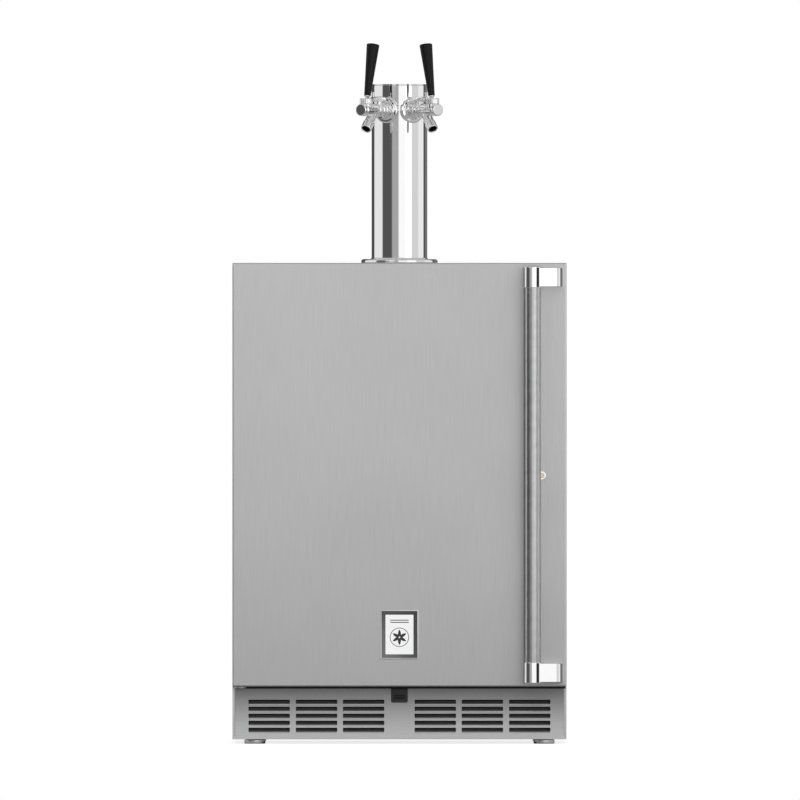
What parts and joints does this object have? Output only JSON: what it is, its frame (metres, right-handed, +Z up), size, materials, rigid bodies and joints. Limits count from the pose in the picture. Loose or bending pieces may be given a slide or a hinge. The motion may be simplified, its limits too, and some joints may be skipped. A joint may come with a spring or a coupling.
{
  "type": "kegerator",
  "caption": "Freestanding stainless keg refrigerator with a hinged door, a bar handle and a draught tower carrying splayed beer taps.",
  "frame": {"origin": "on the floor under the middle of the machine's bounding box", "axes": "+Z up through the tower, -Y out of the door towards the user, +X to the handle side"},
  "size_m": [0.6064, 0.668, 1.2737],
  "materials": {
    "stainless_satin": "satin stainless sheet",
    "stainless_polished": "mirror polished stainless",
    "handle_steel": "fine stippled satin tube",
    "zinc_steel": "zinc plated sheet",
    "foam": "rigid insulation foam",
    "liner_plastic": "light moulded liner",
    "black_plastic": "moulded black plastic",
    "handle_plastic": "moulded black tap handle",
    "seal_rubber": "soft seal",
    "coil_aluminium": "finned coil",
    "copper": "copper tube",
    "compressor_black": "black enamelled can",
    "clear_plastic": "milky diffuser",
    "line_plastic": "translucent beer line",
    "brass": "lock and bushing brass"
  },
  "bodies": {
    "cabinet": {"side_panel_left": "stainless_satin", "side_panel_right": "stainless_satin", "top_panel": "stainless_satin", "kick_grille": "stainless_satin", "rear_panel": "zinc_steel", "rear_service_cover": "zinc_steel", "base_pan": "zinc_steel", "hinge_brackets": "zinc_steel", "fan_shroud": "zinc_steel", "cabinet_foam": "foam", "tower_insulation": "foam", "inner_liner": "liner_plastic", "breaker_frame": "liner_plastic", "evaporator_cover": "liner_plastic", "control_housing": "liner_plastic", "line_bulkhead": "liner_plastic", "grille_clip": "black_plastic", "gas_port_bushing": "black_plastic", "tower_gasket": "seal_rubber", "tower_flange": "stainless_polished", "tower_screws": "stainless_polished", "tower_column": "stainless_polished", "shanks": "stainless_polished", "shank_collars": "stainless_polished", "coupling_nuts": "stainless_polished", "faucet_body_left": "stainless_polished", "faucet_body_right": "stainless_polished", "faucet_caps": "stainless_polished", "keg_deck": "stainless_polished", "condenser_coil": "coil_aluminium", "evaporator_coil": "coil_aluminium", "copper_lines": "copper", "compressor": "compressor_black", "light_lens": "clear_plastic", "beer_lines": "line_plastic"},
    "door": {"door_skin": "stainless_satin", "door_foam": "foam", "door_liner": "liner_plastic", "door_gasket": "seal_rubber", "handle_tube": "handle_steel", "handle_brackets": "stainless_polished", "badge_frame": "stainless_polished", "badge_plate": "stainless_polished", "lock_housing": "stainless_polished"},
    "lock": {"lock_plug": "brass"},
    "cap": {"tower_cap": "stainless_polished"},
    "thermostat": {"thermostat_knob": "black_plastic"},
    "fan": {"condenser_fan": "black_plastic"},
    "tap_left": {"tap_lever_left": "stainless_polished", "tap_handle_left": "handle_plastic"},
    "valve_left": {"valve_plunger_left": "stainless_polished"},
    "flow_control_left": {"flow_lever_left": "stainless_polished"},
    "tap_right": {"tap_lever_right": "stainless_polished", "tap_handle_right": "handle_plastic"},
    "valve_right": {"valve_plunger_right": "stainless_polished"},
    "flow_control_right": {"flow_lever_right": "stainless_polished"},
    "leg_front_left": {"leveling_leg_front_left": "stainless_polished"},
    "leg_front_right": {"leveling_leg_front_right": "stainless_polished"},
    "leg_rear_left": {"leveling_leg_rear_left": "stainless_polished"},
    "leg_rear_right": {"leveling_leg_rear_right": "stainless_polished"}
  },
  "joints": [
    {"name": "door_hinge", "type": "hinge", "parent": "cabinet", "child": "door", "pos_m": [-0.289, -0.247, 0.49], "axis": [0, 0, -1], "range_deg": [0, 110]},
    {"name": "lock_turn", "type": "hinge", "parent": "door", "child": "lock", "pos_m": [0.258, -0.25, 0.487], "axis": [0, -1, 0], "range_deg": [0, 90]},
    {"name": "cap_lift", "type": "slide", "parent": "cabinet", "child": "cap", "axis": [0, 0, 1], "range_m": [0, 0.045]},
    {"name": "thermostat_turn", "type": "hinge", "parent": "cabinet", "child": "thermostat", "pos_m": [0.038, -0.2, 0.813], "axis": [0, -1, 0], "range_deg": [0, 270]},
    {"name": "fan_spin", "type": "hinge", "parent": "cabinet", "child": "fan", "pos_m": [-0.104, -0.13, 0.06], "axis": [0, 1, 0], "continuous": true},
    {"name": "tap_left_pull", "type": "hinge", "parent": "cabinet", "child": "tap_left", "pos_m": [-0.06037, -0.05355, 1.16], "axis": [0.8829, -0.4695, 0], "range_deg": [0, 33]},
    {"name": "valve_left_slide", "type": "slide", "parent": "cabinet", "child": "valve_left", "axis": [0.4695, 0.8829, 0], "range_m": [0, 0.005]},
    {"name": "flow_left_turn", "type": "hinge", "parent": "cabinet", "child": "flow_control_left", "pos_m": [-0.04789, -0.03006, 1.172], "axis": [0.4695, 0.8829, 0], "range_deg": [0, 90]},
    {"name": "tap_right_pull", "type": "hinge", "parent": "cabinet", "child": "tap_right", "pos_m": [0.06037, -0.05355, 1.16], "axis": [0.8829, 0.4695, 0], "range_deg": [0, 33]},
    {"name": "valve_right_slide", "type": "slide", "parent": "cabinet", "child": "valve_right", "axis": [-0.4695, 0.8829, 0], "range_m": [0, 0.005]},
    {"name": "flow_right_turn", "type": "hinge", "parent": "cabinet", "child": "flow_control_right", "pos_m": [0.04789, -0.03006, 1.172], "axis": [0.4695, -0.8829, 0], "range_deg": [0, 90]},
    {"name": "leg_front_left_screw", "type": "slide", "parent": "cabinet", "child": "leg_front_left", "axis": [0, 0, -1], "range_m": [0, 0.025]},
    {"name": "leg_front_right_screw", "type": "slide", "parent": "cabinet", "child": "leg_front_right", "axis": [0, 0, -1], "range_m": [0, 0.025]},
    {"name": "leg_rear_left_screw", "type": "slide", "parent": "cabinet", "child": "leg_rear_left", "axis": [0, 0, -1], "range_m": [0, 0.025]},
    {"name": "leg_rear_right_screw", "type": "slide", "parent": "cabinet", "child": "leg_rear_right", "axis": [0, 0, -1], "range_m": [0, 0.025]}
  ],
  "couplings": [
    {"joint": "valve_left_slide", "follows": "tap_left_pull", "m_per_rad": 0.008},
    {"joint": "valve_right_slide", "follows": "tap_right_pull", "m_per_rad": 0.008}
  ]
}
